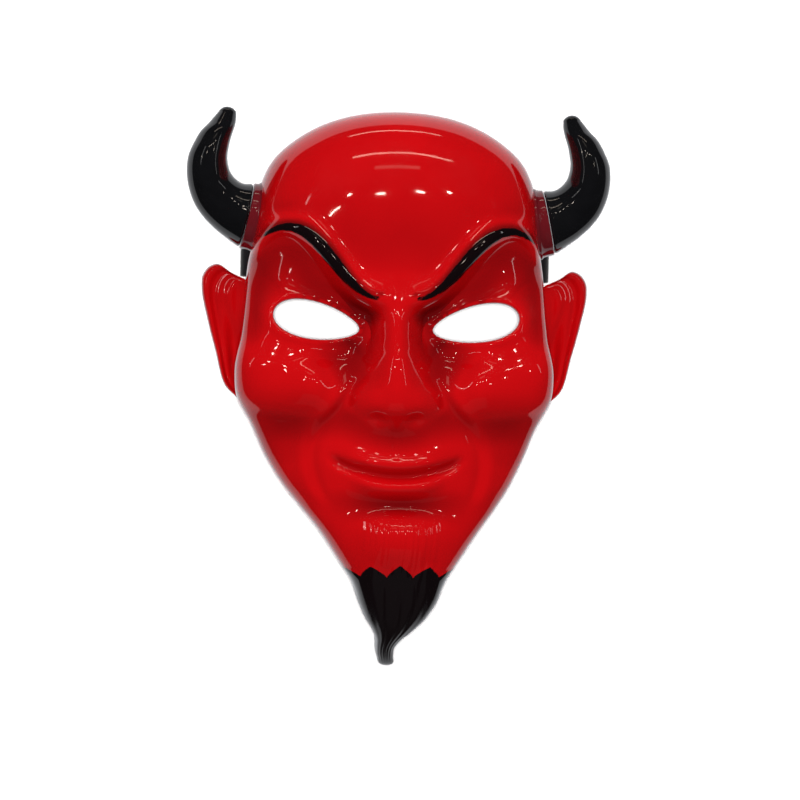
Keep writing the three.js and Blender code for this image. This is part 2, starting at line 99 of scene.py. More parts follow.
# Gathers grids of points with their quads and point values, and makes one mesh of them
class Surface:

    def __init__(self):
        self.points, self.quads, self.values, self.count = [], [], {}, 0

    def add(self, grid, kept=None, flip=False, closed=False, **values):
        rows, columns = grid.shape[:2]
        index = np.arange(rows * columns).reshape(rows, columns) + self.count
        if closed:
            index = np.column_stack([index, index[:, 0]])
        quads = np.stack([index[:-1, :-1], index[:-1, 1:], index[1:, 1:], index[1:, :-1]], -1)
        quads = quads.reshape(-1, 4) if kept is None else quads[kept]
        self.quads.append(quads[:, ::-1] if flip else quads)
        self.points.append(grid.reshape(-1, 3))
        for name, value in values.items():
            full = np.broadcast_to(value, (rows, columns)).reshape(-1)
            self.values.setdefault(name, []).append((self.count, full))
        self.count += rows * columns

    # half-round strip round a closed edge, from its outer to its inner points, standing out by bulge
    def addRoundEdge(self, outer, inner, bulge, steps, flip, **values):
        angle = np.linspace(0, math.pi, steps)[:, None, None]
        strip = (outer + inner) / 2 + (outer - inner) / 2 * np.cos(angle) + bulge * np.sin(angle)
        self.add(strip, flip=flip, closed=True, **values)

    def make(self, name, material):
        points = np.concatenate(self.points) * mm
        mesh = bpy.data.meshes.new(name)
        mesh.from_pydata(points.tolist(), [], np.concatenate(self.quads).tolist())
        for key, pieces in self.values.items():
            data = np.zeros(len(points))
            for first, values in pieces:
                data[first:first + len(values)] = values
            mesh.attributes.new(key, "FLOAT", "POINT").data.foreach_set("value", data)
        work = bmesh.new()
        work.from_mesh(mesh)
        bmesh.ops.remove_doubles(work, verts=work.verts, dist=0.002 * mm)
        work.to_mesh(mesh)
        work.free()
        mesh.polygons.foreach_set("use_smooth", np.ones(len(mesh.polygons), bool))
        mesh.materials.append(material)
        piece = bpy.data.objects.new(name, mesh)
        bpy.context.scene.collection.objects.link(piece)
        report(f"{name}: {len(mesh.polygons)} faces")
        return piece


# The shell. Sizes in millimetres, as in the solid.

halfWidths = [
    [-139, 34], [-136.5, 21], [-132, 14], [-127, 13.5], [-121, 20], [-116, 25.5], [-110, 29], [-95, 33],
    [-87, 37.8], [-72, 46.3], [-60, 54.3], [-50, 60.3], [-37, 66.2], [-20, 71.7], [-8, 77.1], [5, 78.4],
    [25, 76.7], [43, 78.3], [60, 81.8], [72, 84], [85, 91], [100, 100.5], [114, 110.6], [122, 114.8],
    [127.5, 118.8], [133.2, 126], [139, 140],
]
crownHeights = [
    [-139, 52], [-115, 66], [-95, 72], [-75, 74], [-41, 70], [35, 71], [60, 74], [90, 77], [139, 78],
]
# level, the two powers of the corner between front and side, and how far the front falls towards it
sideShapes = [
    [-139, 12, 7, 0.08], [-120, 13, 8, 0.08], [-98, 14, 8, 0.08], [-75, 13, 8, 0.1], [-35, 13, 8, 0.1],
    [-10, 20, 9, 0.08], [35, 20, 9, 0.08], [58, 10, 6, 0.15], [90, 8, 4.5, 0.2], [139, 8, 4.5, 0.2],
]
# formsFade and onFront are shares of the crown; thicken, smooth, shadeReach and rimSteps count cells
shell = dict(
    below=139.0, above=137.0, wall=2.0, mapping=4.0, evenness=0.6, columns=160, rows=224,
    chinLift=30.0, chinLiftStart=-62.0, rimRound=0.5, rimSteps=7, formsFade=(0.1, 0.5), onFront=(0.8, 0.97),
    thicken=3, smooth=2, shadeReach=14, shadeDepth=5.0, middleRound=2.0,
)
rowStops = [[0, -1], [6, -0.76], [13, -0.465], [25, -0.195], [34, 0.09], [40, 0.27], [48, 0.48], [56, 1]]
solidGrid = dict(columns=40, rows=56, browBend=28.0, mouthBend=14.0)
eyeCells = dict(left=26, right=32, low=36, high=40)

# a pair of numbers is where a form starts and ends, and a triple a crease's height, place and width
brow = dict(
    inner=9.0, span=46.0, middle=56.0, rise=17.0, reach=1.28, ridge=(4.5, 2.5, 6.0), starts=(0, 15),
    ridgeEnds=(64, 76), undercut=6.0, drop=(1.5, -6), dropEnds=(-44, -12), undercutEnds=(66, 79),
)
eye = dict(
    x=38.7, y=30.0, halfWidth=21.7, halfHeight=9.6, tilt=10.5, fullness=0.22,
    lip=1.6, lipReach=1.06, lipWidth=2.2, edgeRound=0.7, edgeSteps=7,
)
mouth = dict(y=-44.5, halfWidth=28.0, rise=6.5, depth=3.2, width=2.6, closesBefore=2, closesAfter=6)
lipRidges = dict(upper=(2.4, 5.5, 3.4), lower=(3.2, -6.0, 4.4))
lipEnds = dict(upper=(12, 27), lower=(12, 25))
cheekEdge = dict(y=-15.0, x=44.0, bend=0.006, height=3.0, step=(-5, 4), top=(36, 6), starts=(24, 40))
noseRidge = [
    [-34, 0], [-24, 1.5], [-18, 8.5], [-13, 15], [-6, 18.5], [4, 18.5], [13, 16.5], [22, 13], [32, 8.5],
    [44, 4], [58, 1], [70, 0],
]
noseHalfWidths = [[-34, 14], [-10, 15.5], [2, 15], [16, 14], [30, 15], [44, 18], [70, 22]]
noseFall = 0.9
# height, middle x and y, half widths along and across, turn in degrees, power
faceMounds = dict(
    eyeSocket=[-4.5, 36.5, 32, 27, 13, 10.5, 1.5],
    innerSocket=[-3.5, 18, 29, 10, 13, -15, 1.2],
    lids=[3, 38.7, 30, 26, 13, 10.5, 2],
    cheekbone=[5.5, 55, 4, 26, 17, 14, 1.6],
    innerCheek=[3.5, 36, -3, 14, 12, 0, 1.2],
    cheekHollow=[-3.5, 60, -31, 20, 14, -30, 1.2],
    nostrilWing=[4, 15, -9, 8, 7.5, -20, 1.2],
    mouthBarrel=[5.5, 0, -35, 31, 19, 0, 1.4],
    chin=[7.5, 0, -76, 20, 14, 0, 1.2],
    chinCrease=[-3.5, 0, -58, 26, 6, 0, 1],
)
# finer forms than the solid's: nostrils, groove under the nose, frown line
fineMounds = dict(
    nostril=[-2.0, 8.5, -17, 4.2, 2.8, 20, 1.0],
    frownLine=[-0.5, 6, 58, 5, 13, -14, 1],
    lipGroove=[-1.0, 0, -27, 2.6, 8, 0, 1.3],
)
middleLine = [[-139, -2.2], [-130, -3.2], [-121, 0], [-108, 2], [-90, 2], [-70, 1.8], [-45, 0], [139, 0]]
foldLine = [[-62, 33], [-47, 39.5], [-32, 41], [-20, 35], [-10, 26], [0, 20]]
foldForms = dict(ridge=(1.2, 4.0, 4.6), groove=(-1.3, -0.8, 3.0), starts=(-62, -50), ends=(3, -8))
lidCreases = dict(upper=(-0.8, 6.0, 2.2), lower=(-0.5, 9.5, 3.0), upperAbove=(-3, 5), lowerBelow=(0, -8))
nostrilCurl = dict(x=13.5, y=7.5, length=1.1, groove=(-1.0, 8.8, 1.8), starts=(-15, -9), outer=(12, 18))
slot = dict(z=8.6, height=3.4, length=16.5, taper=0.15, taperPower=12, rimLift=3.0, liftHalf=11,
            edgeRound=0.3, edgeSteps=5)
slotCells = dict(left=157, right=159, low=189, high=201)
goatee = dict(edgeY=-93.0, peaks=4, peakLength=6.0, peakPower=0.8, sideLoss=0.25, raised=0.8,
              edge=(0.6, -1.0), rough=0.2)
locks = dict(count=3.5, depth=0.2, starts=(-90, -104))
strands = dict(spacing=3.1, sway=0.35, swayLength=9, uneven=1.4, unevenTurn=0.9, chinDepth=0.13,
               goateeDepth=0.05, chinStarts=(-62, -70), chinSides=(26, 14), chinEnds=(-96, -88),
               goateeStarts=(-90, -98))
browPaint = dict(start=9.0, end=67.0, halfThick=3.0, lift=2.0, tip=0.3, widens=(0, 0.4), narrows=(0.45, 1),
                 loss=0.5, roundPower=8, shade=3.5, shadeStarts=(0, 2))
unpainted = dict(browDistance=9, goateeDistance=9)  # well away from the paint


# share of the way from the middle to the mask's lower or upper end, -1 to 1
def endShare(y):
    return y / np.where(y < 0, shell["below"], shell["above"])


# how far out a plan point is, 0 at the middle and 1 on the outline: the root of the squares of both shares
def reachOut(x, y):
    return np.minimum(np.hypot(x / curveThrough(halfWidths, y), endShare(y)), 1)


# 1 on the crown and 0 on the rim: one less a power of the way out, to another power that makes the corner
def crownShare(x, y):
    fromRim = 1 - reachOut(x, y) ** curveThrough(sideShapes, y)
    return np.where(fromRim < 1e-12, 0, fromRim) ** (1 / curveThrough(sideShapes, y, 2))


# the rim is lifted by an even S under the chin, and by a flat-topped bell where the strap passes under it
def rimHeight(y):
    chin = shell["chinLift"] * smoothStep(shell["chinLiftStart"], -shell["below"], y)
    return chin + slot["rimLift"] * np.exp(-(((y - strap["y"]) / slot["liftHalf"]) ** 4))


# rim height plus the share of the rest, which falls with the square of the way out; forms fade at the rim
def onShell(x, y, forms):
    share, rim = crownShare(x, y), rimHeight(y)
    crown = curveThrough(crownHeights, y) * (1 - curveThrough(sideShapes, y, 3) * reachOut(x, y) ** 2)
    return rim + (crown - rim) * share + forms * smoothStep(*shell["formsFade"], share)


# where the side wall is at a height near the rim: the crown's formula, solved for the way out
def wallAt(y, z):
    rim = rimHeight(y)
    top = curveThrough(crownHeights, y) * (1 - curveThrough(sideShapes, y, 3))
    share = np.clip((z - rim) / (top - rim), 0, 1)
    reach = (1 - share ** curveThrough(sideShapes, y, 2)) ** (1 / curveThrough(sideShapes, y))
    return curveThrough(halfWidths, y) * np.sqrt(np.maximum(reach ** 2 - endShare(y) ** 2, 0))


# half a cosine wave, low at the inner end, that turns down again at the temple; and its slope
def browLine(side):
    along = np.clip((side - brow["inner"]) / brow["span"], 0, brow["reach"])
    y = brow["middle"] - brow["rise"] * np.cos(math.pi * along)
    return y, brow["rise"] * math.pi / brow["span"] * np.sin(math.pi * along)


# distance above the brow line, square to it
def aboveBrow(side, y):
    lineY, slope = browLine(side)
    return (y - lineY) / np.hypot(1, slope)


# a ridge along the brow line, and the drop under it
def brows(side, y):
    above = aboveBrow(side, y)
    starts = smoothStep(*brow["starts"], side)
    inBrow = starts * (1 - smoothStep(*brow["ridgeEnds"], side))
    underBrow = smoothStep(*brow["drop"], above) * smoothStep(*brow["dropEnds"], above) * starts
    return (crease(above, *brow["ridge"]) * inBrow
            - brow["undercut"] * underBrow * (1 - smoothStep(*brow["undercutEnds"], side)))


# the step from the cheek down to the jaw, along a shallow parabola
def cheekFold(side, y):
    above = y - cheekEdge["y"] - cheekEdge["bend"] * (side - cheekEdge["x"]) ** 2
    step = smoothStep(*cheekEdge["step"], above) * smoothStep(*cheekEdge["top"], above)
    return cheekEdge["height"] * (step * smoothStep(*cheekEdge["starts"], side))


# the ridge's height along the nose, falling to the sides as a steep bell curve
def nose(side, y):
    return curveThrough(noseRidge, y) * np.exp(-noseFall * (side / curveThrough(noseHalfWidths, y)) ** 2)


# a parabola that rises to the corners of the mouth
def mouthLine(side):
    return mouth["y"] + mouth["rise"] * (side / mouth["halfWidth"]) ** 2


# two lip ridges and the groove between them
def lips(side, y):
    above = y - mouthLine(side)
    corner = mouth["halfWidth"] - mouth["closesBefore"], mouth["halfWidth"] + mouth["closesAfter"]
    ridges = sum(crease(above, *lipRidges[lip]) * (1 - smoothStep(*lipEnds[lip], side)) for lip in lipRidges)
    return ridges - mouth["depth"] * ridgeLine(above, mouth["width"]) * (1 - smoothStep(*corner, side))


# mounds times their heights, added up
def moundSum(mounds, side, y):
    return sum(height * mound(side, y, *shape) for height, *shape in mounds.values())


# distance from the middle as a hyperbola, so that both halves are alike and meet without an edge
def softSide(x):
    return np.sqrt(x * x + shell["middleRound"] ** 2) - 0.3 * shell["middleRound"]


# all the forms that the solid has too
def faceForms(x, y):
    side = softSide(x)
    lines = brows(side, y) + cheekFold(side, y) + nose(side, y) + lips(side, y)
    return lines + moundSum(faceMounds, side, y)


# 1 on the edge of an eye opening, more outside it: the turned way from its middle over its half widths
def eyeReach(x, y):
    side = np.abs(x)
    c, s = math.cos(math.radians(eye["tilt"])), math.sin(math.radians(eye["tilt"]))
    along = ((side - eye["x"]) * c + (y - eye["y"]) * s) / eye["halfWidth"]
    across = ((y - eye["y"]) * c - (side - eye["x"]) * s) / eye["halfHeight"]
    return np.hypot(along, across / (1 + eye["fullness"] * np.minimum(along, 1)))


# share of the half width at a level, from -1 to 1
def acrossShare(x, y):
    return x / np.maximum(curveThrough(halfWidths, y) * np.sqrt(1 - np.minimum(endShare(y) ** 2, 0.98)), 1)


# millimetres above the goatee's upper edge, a row of pointed tufts: a zigzag to a power
def goateeEdge(x, y):
    across = acrossShare(x, y)
    wave = np.abs(((across * goatee["peaks"] / 2 + 0.5) % 1) * 2 - 1)
    tuft = goatee["peakLength"] * (1 - wave) ** goatee["peakPower"]
    return y - (goatee["edgeY"] + tuft * (1 - goatee["sideLoss"] * np.abs(across)))


# locks as cosine waves across the goatee, and finer, swaying sine strands that start on the red chin
def goateeHair(x, y):
    wave = np.cos(2 * math.pi * locks["count"] * acrossShare(x, y))
    bend = strands["sway"] * np.sin(y / strands["swayLength"])
    uneven = strands["uneven"] * np.sin(x * strands["unevenTurn"])
    strand = np.sin(2 * math.pi * (x / strands["spacing"] + bend) + uneven)
    onChin = (smoothStep(*strands["chinStarts"], y) * smoothStep(*strands["chinSides"], np.abs(x))
              * smoothStep(*strands["chinEnds"], y))
    return (locks["depth"] * wave * smoothStep(*locks["starts"], y) + strands["chinDepth"] * strand * onChin
            + strands["goateeDepth"] * strand * smoothStep(*strands["goateeStarts"], y))


# millimetres outside the painted brow, a tapered stroke along the brow line
def browDistance(x, y):
    side = np.abs(x)
    along = np.clip((side - browPaint["start"]) / (browPaint["end"] - browPaint["start"]), 0, 1)
    widened = browPaint["tip"] + (1 - browPaint["tip"]) * smoothStep(*browPaint["widens"], along)
    narrowed = 1 - browPaint["loss"] * smoothStep(*browPaint["narrows"], along)
    rounded = np.sqrt(1 - along ** browPaint["roundPower"])
    half = browPaint["halfThick"] * widened * (narrowed * rounded)
    ends = np.maximum(browPaint["start"] - side, side - browPaint["end"])
    return np.maximum(np.abs(aboveBrow(side, y) - browPaint["lift"]) - half, ends)


# 1 at the upper edge of the painted brow, fading upwards: it darkens the red above the brow
def browShade(x, y):
    away = browDistance(x, y)
    above = smoothStep(*browPaint["shadeStarts"], aboveBrow(np.abs(x), y) - browPaint["lift"])
    return above * smoothStep(browPaint["shade"], 0, away)


# lid creases, the fold from the nose past the mouth, the nostril's curl and the edge of the goatee
def fineForms(x, y):
    side = softSide(x)
    past = (eyeReach(x, y) - 1) * eye["halfHeight"]
    upper = smoothStep(*lidCreases["upperAbove"], y - eye["y"])
    lower = smoothStep(*lidCreases["lowerBelow"], y - eye["y"])
    fold = side - curveThrough(foldLine, y)
    inFold = smoothStep(*foldForms["starts"], y) * smoothStep(*foldForms["ends"], y)
    nostril = np.hypot(side - nostrilCurl["x"], (y + nostrilCurl["y"]) / nostrilCurl["length"])
    inCurl = smoothStep(*nostrilCurl["starts"], y) * smoothStep(*nostrilCurl["outer"], side)
    return (moundSum(fineMounds, side, y)
            + crease(past, *lidCreases["upper"]) * upper + crease(past, *lidCreases["lower"]) * lower
            + crease(fold, *foldForms["ridge"]) * inFold + crease(fold, *foldForms["groove"]) * inFold
            + crease(nostril, *nostrilCurl["groove"]) * inCurl
            + goatee["raised"] * smoothStep(*goatee["edge"], goateeEdge(x, y)))


# the middle line wanders a little to one side at the chin and to the other at the goatee's tip
def curl(y):
    return curveThrough(middleLine, y)


# a square grid position (-1 to 1 each way) laid out on the mask's outline, closer together near it
def planPoint(s, t):
    p, q = s * np.sqrt(1 - t * t / 2), t * np.sqrt(1 - s * s / 2)
    rho = np.maximum(np.hypot(p, q), 1e-9)
    phi = (shell["evenness"] * rho + (1 - shell["evenness"]) * rho ** 3) * math.pi / 2
    flat, n = np.sin(phi), shell["mapping"]
    reach = flat / (np.abs(np.cos(phi)) ** n + flat ** n) ** (1 / n)
    y = np.where(q < 0, shell["below"], shell["above"]) * q * reach / rho
    return p * reach / rho * curveThrough(halfWidths, y), y


# a row bends along the brows and the mouth, and keeps its ends on the outline
def bentPoint(s, t):
    x, y = planPoint(s, t)
    side = np.abs(x)
    browBend = (browLine(side)[0] - brow["middle"]) * ridgeLine(y - brow["middle"], solidGrid["browBend"])
    inMouth = np.minimum(side, mouth["halfWidth"])
    mouthBend = (mouthLine(inMouth) - mouth["y"]) * ridgeLine(y - mouth["y"], solidGrid["mouthBend"])
    return planPoint(s, t + (browBend + mouthBend) / shell["below"] * (1 - t ** 4))


# an ellipse that is fuller at its outer end, turned about its middle
def eyeOutline(angle):
    u = eye["halfWidth"] * np.cos(angle)
    v = eye["halfHeight"] * np.sin(angle) * (1 + eye["fullness"] * np.cos(angle))
    c, s = math.cos(math.radians(eye["tilt"])), math.sin(math.radians(eye["tilt"]))
    return eye["x"] + u * c - v * s, eye["y"] + u * s + v * c


# steps from the middle of a block of cells, 1 on its edge
def blockSteps(column, row, cells):
    a = (column - (cells["left"] + cells["right"]) / 2) / ((cells["right"] - cells["left"]) / 2)
    b = (row - (cells["low"] + cells["high"]) / 2) / ((cells["high"] - cells["low"]) / 2)
    return a, b, np.maximum(np.abs(a), np.abs(b))


def inBlock(column, row, cells):
    inColumns = (column >= cells["left"]) & (column < cells["right"])
    return inColumns & (row >= cells["low"]) & (row < cells["high"])


# plan positions of the grid, drawn onto the outlines of the eyes and the strap's slots, and the kept cells
def shellPlan():
    rows, columns = shell["rows"], shell["columns"]
    scale = dict(left=columns / solidGrid["columns"], right=columns / solidGrid["columns"],
                 low=rows / solidGrid["rows"], high=rows / solidGrid["rows"])
    eyeBlock = {key: round(value * scale[key]) for key, value in eyeCells.items()}
    column, row = np.meshgrid(np.arange(columns + 1), np.arange(rows + 1))
    mirrored = np.maximum(column, columns - column)
    x, y = bentPoint(2 * mirrored / columns - 1, curveThrough(rowStops, row / scale["low"]))
    a, b, ring = blockSteps(mirrored, row, eyeBlock)
    away = smoothStep(1, 2, ring)
    edgeX, edgeY = eyeOutline(np.arctan2(b, a))
    drawnX, drawnY = eye["x"] + (edgeX - eye["x"]) * ring, eye["y"] + (edgeY - eye["y"]) * ring
    x, y = drawnX + (x - drawnX) * away, drawnY + (y - drawnY) * away
    a, b, ring = blockSteps(mirrored, row, slotCells)
    away = smoothStep(1, 2, ring)
    z = onShell(x, y, 0)
    narrowed = 1 - slot["taper"] * np.minimum(np.abs(b), 1) ** slot["taperPower"]
    drawnZ = slot["z"] - slot["height"] / 2 * a * narrowed
    drawnY = strap["y"] + slot["length"] / 2 * b
    slotY = drawnY + (y - drawnY) * away
    x = np.where(away < 1, wallAt(slotY, drawnZ + (z - drawnZ) * away), x)
    y = np.where(away < 1, slotY, y)
    cell = np.maximum(column, columns - 1 - column)[:-1, :-1]
    kept = ~inBlock(cell, row[:-1, :-1], eyeBlock) & ~inBlock(cell, row[:-1, :-1], slotCells)
    return x * np.where(column < columns / 2, -1, 1), y, kept, eyeBlock


# rows and columns of a block's edge points, counter-clockwise from its lower left
def blockEdge(cells, mirror=False):
    low, high, left, right = (cells[key] for key in ("low", "high", "left", "right"))
    if mirror:
        left, right = shell["columns"] - right, shell["columns"] - left
    along, up = np.arange(left, right), np.arange(low, high)
    rows = np.concatenate([np.full(len(along), low), up, np.full(len(along), high), up[::-1] + 1])
    return rows, np.concatenate([along, np.full(len(up), right), along[::-1] + 1, np.full(len(up), left)])


# level unit vectors out of a closed counter-clockwise edge
def levelOut(points):
    ahead = np.roll(points, -1, 0) - np.roll(points, 1, 0)
    return unit(np.stack([ahead[:, 1], -ahead[:, 0], np.zeros(len(points))], -1))


# one wall thickness behind the smoothed forms: square to the sides, straight behind the front
def innerGrid(x, y, rim):
    forms = spread(spread(faceForms(x, y), shell["thicken"], np.min), shell["smooth"], np.mean)
    smooth = np.stack([x + curl(y), y, onShell(x, y, forms)], -1)
    normal = unit(np.cross(np.gradient(smooth, axis=1), np.gradient(smooth, axis=0)))
    onFront = smoothStep(*shell["onFront"], crownShare(x, y))[..., None]
    normal = unit(normal * (1 - onFront) + np.array([0, 0, 1]) * onFront)
    normal[rim] = levelOut(smooth[rim])
    return smooth - shell["wall"] * normal


# outer and inner grid, joined by round edges at the rim, the eyes and the slots, with ears and collars
def makeShell(material):
    surface = Surface()
    x, y, kept, eyeBlock = shellPlan()
    rim = blockEdge(dict(left=0, right=shell["columns"], low=0, high=shell["rows"]))
    lip = eye["lip"] * ridgeLine((eyeReach(x, y) - eye["lipReach"]) * eye["halfHeight"], eye["lipWidth"])
    faceShape = spread(faceForms(x, y), 1, np.mean)
    forms = faceShape + lip + fineForms(x, y) + goateeHair(x, y)
    outer = np.stack([x + curl(y), y, onShell(x, y, forms)], -1)
    inner = innerGrid(x, y, rim)
    outer[rim[0], rim[1], 2] += shell["rimRound"]
    inner[rim[0], rim[1], 2] = outer[rim[0], rim[1], 2]
    # painted shade: how far each point lies below the mean of the face around it, used to darken the red in
    # the hollows
    around = spread(faceShape, shell["shadeReach"], np.mean)
    hollow = np.clip((around - faceShape) / shell["shadeDepth"], 0, 1)
    surface.add(outer, kept, hollow=hollow, browDistance=browDistance(x, y), goateeDistance=goateeEdge(x, y),
                browShade=browShade(x, y))
    surface.add(inner, kept, flip=True, inside=1, **unpainted)
    down = np.array([0, 0, -shell["rimRound"]])
    surface.addRoundEdge(outer[rim], inner[rim], down, shell["rimSteps"], True, **unpainted)
    for mirror in (False, True):
        edge = blockEdge(eyeBlock, mirror)
        into = -eye["edgeRound"] * levelOut(outer[edge])
        surface.addRoundEdge(outer[edge], inner[edge], into, eye["edgeSteps"], False, **unpainted)
        edge = blockEdge(slotCells, mirror)
        into = -slot["edgeRound"] * unit(outer[edge] - outer[edge].mean(0))
        surface.addRoundEdge(outer[edge], inner[edge], into, slot["edgeSteps"], False, **unpainted)
    for side in (-1, 1):
        addEar(surface, side)
        addCollar(surface, side)
    return surface.make("shellMoulding", material)


# Ears: cupped leaves with a rolled outer edge, rooted in the side walls

# places run from 0 to 1, along the root (a) and out from it (b)
ear = dict(rootFrom=-9.0, rootTo=49.0, rootZ=17.0, bury=1.7, thickness=2.4, fillet=2.2, filletLength=0.05,
           along=80, across=40)
earCreases = dict(helix=(2.6, 0.9, 0.13), groove=(-0.9, 0.765, 0.07))
earFold = dict(height=1.2, place=0.6, slant=0.1, width=0.16)
earMounds = dict(bowl=[-5, 0.42, 0.36, 0.27, 0.25, 0, 1.2])
earFineMounds = dict(branch=[1.3, 0.74, 0.4, 0.2, 0.09, 28, 1.1], root=[1.2, 0.3, 0.12, 0.07, 0.14, 0, 1.2])
earFades = dict(helixStarts=(0, 0.12), helixEnds=(1, 0.9), grooveStarts=(0.12, 0.3), grooveEnds=(1, 0.88),
                foldStarts=(0.2, 0.4), foldEnds=(0.95, 0.7))
earThinning = dict(outerFrom=0.93, outerRun=0.07, lowRun=0.03, topFrom=0.98, topRun=0.02)
earEdge = [
    [0, 76, -11, 17], [0.1, 80, -7, 16], [0.2, 85, -2, 15], [0.4, 90.5, 16, 13.5], [0.58, 95, 32.5, 12],
    [0.72, 98, 47.5, 11], [0.79, 97.5, 54, 10.5], [0.85, 94, 58.5, 10.5], [0.9, 89.5, 59.5, 11.5],
    [0.95, 83.5, 55.5, 14], [1, 76.2, 52, 17],
]


# 1 between the starts and the ends of an ear form, along the root
def earFade(form, a):
    return smoothStep(*earFades[form + "Starts"], a) * smoothStep(*earFades[form + "Ends"], a)


# rolled edge and slanting inner fold as bell curves, and a sunken bowl as a mound
def earRelief(a, b):
    fold = earFold["height"] * ridgeLine(b - earFold["place"] + earFold["slant"] * a, earFold["width"])
    helix = crease(b, *earCreases["helix"])
    return helix * earFade("helix", a) + moundSum(earMounds, a, b) + fold * earFade("fold", a)


# groove inside the rolled edge, a branch of the fold, and a fillet where the ear leaves the wall
def earDetail(a, b):
    groove = crease(b, *earCreases["groove"]) * earFade("groove", a)
    return groove + moundSum(earFineMounds, a, b) + ear["fillet"] * np.exp(-b / ear["filletLength"])


# straight lines from the root to the edge, raised by the relief; the wall thins to nothing round the edge
def addEar(surface, side):
    steps = [np.linspace(0, 1, ear[key] + 1) for key in ("along", "across")]
    a, b = np.meshgrid(*steps, indexing="ij")
    rootY = ear["rootFrom"] + (ear["rootTo"] - ear["rootFrom"]) * a
    root = np.stack([wallAt(rootY, ear["rootZ"]) - ear["bury"], rootY, np.full(a.shape, ear["rootZ"])], -1)
    edge = np.stack([curveThrough(earEdge, a, axis) for axis in (1, 2, 3)], -1)
    sheet = root + (edge - root) * b[..., None]
    sheet[..., 2] += earRelief(a, b)
    thin = earThinning
    nearEdge = [(b - thin["outerFrom"]) / thin["outerRun"], (thin["lowRun"] - a) / thin["lowRun"],
                (a - thin["topFrom"]) / thin["topRun"]]
    rolled = np.prod([np.sqrt(np.clip(1 - np.maximum(near, 0) ** 2, 0, 1)) for near in nearEdge], axis=0)
    half = ear["thickness"] / 2 * rolled
    front, back = sheet.copy(), sheet.copy()
    front[..., 2] += earDetail(a, b) * rolled - ear["thickness"] / 2 + half
    back[..., 2] -= ear["thickness"] / 2 + half
    mirror = np.array([side, 1, 1])
    surface.add(front * mirror, flip=side > 0, **unpainted)
    surface.add(back * mirror, flip=side < 0, **unpainted)


# Collars: short sockets on the forehead's corners that carry the horns

hornRoot, hornSeat = np.array([67.9, 81.4, 27.2]), np.array([75.7, 83.0, 28.0])
hornAxis = unit(hornSeat - hornRoot)
collar = dict(
    length=8.0, radius=16.5, depth=14.0, bury=2.0, fillet=1.6, filletLength=1.2, flareSlope=0.6,
    around=96, rows=22, crowding=1.3, probes=240, lastRowBack=0.4,
)
collarEdge = [[-0.12, 0.15], [0, 0.5], [0, 1.4], [0, collar["radius"]]]  # steps out and in, to the middle


# a round wall from inside the shell to the horn's seat, flared by a fillet where it leaves the shell
def addCollar(surface, side):
    across = unit(np.cross(hornAxis, [0, 0, 1.0]))
    angle = np.linspace(0, 2 * math.pi, collar["around"], endpoint=False)
    out = np.cos(angle)[:, None] * across + np.sin(angle)[:, None] * np.cross(across, hornAxis)
    travel = np.linspace(-collar["depth"], collar["length"], collar["probes"])
    probe = hornRoot + travel[:, None, None] * hornAxis + collar["radius"] * out
    inside = probe[..., 2] < onShell(probe[..., 0], probe[..., 1], faceForms(probe[..., 0], probe[..., 1]))
    inside &= reachOut(probe[..., 0], probe[..., 1]) < 1
    last = len(travel) - 1 - np.argmax(inside[::-1], axis=0)
    leaves = np.where(inside.any(0), travel[last], -collar["depth"])
    share = np.linspace(0, 1, collar["rows"])[:, None] ** collar["crowding"]
    along = leaves - collar["bury"] + (collar["length"] - leaves + collar["bury"]) * share
    flare = np.exp(-np.maximum(along - leaves, 0) / collar["filletLength"])
    radius = collar["radius"] + collar["fillet"] * flare
    radius = np.minimum(radius, collar["radius"] + collar["flareSlope"] * (collar["length"] - along))
    along[-1] -= collar["lastRowBack"]
    each = np.ones(len(angle))
    along = np.concatenate([along, [(collar["length"] + step) * each for step, _ in collarEdge]])
    radius = np.concatenate([radius, [(collar["radius"] - sink) * each for _, sink in collarEdge]])
    grid = hornRoot + along[..., None] * hornAxis + radius[..., None] * out
    surface.add(grid * np.array([side, 1, 1]), flip=side < 0, closed=True, onCollar=1, **unpainted)


# Horns. Each row: distance along the horn, inner edge x and y, outer edge x and y, height.

hornEdges = [
    [0, 72.5, 98.8, 78.9, 67.2, 28], [5.5, 77.4, 98.9, 84.2, 70.8, 28.8],
    [11.9, 81.3, 101.2, 90.8, 75.8, 30], [17.8, 83.8, 104.5, 96.6, 81.5, 31.2],
    [24, 85, 108.7, 101.2, 88.2, 32.5],
    [29.7, 85.2, 112.3, 104, 95.6, 33.4], [35.7, 84.7, 116, 105.2, 104.1, 34],
    [41.4, 84, 119.6, 104.5, 111.8, 34.2], [46.7, 83.1, 123, 101.9, 118.3, 34.1],
    [51.7, 82.1, 126.4, 98.7, 124, 33.6], [56.2, 81.5, 129.6, 95, 128.1, 32.8],
    [62, 81.5, 134, 90.3, 134, 31.6],
]
horn = dict(length=62.0, settles=12.0, tipStart=0.49, gap=0.3, around=72, steps=120, capSteps=14,
            seatRound=0.9, seatLoss=0.06, seatRows=(0, 0.5, 0.93))
hornRidges = dict(count=3, twist=0.05, height=0.012, starts=(4, 20))


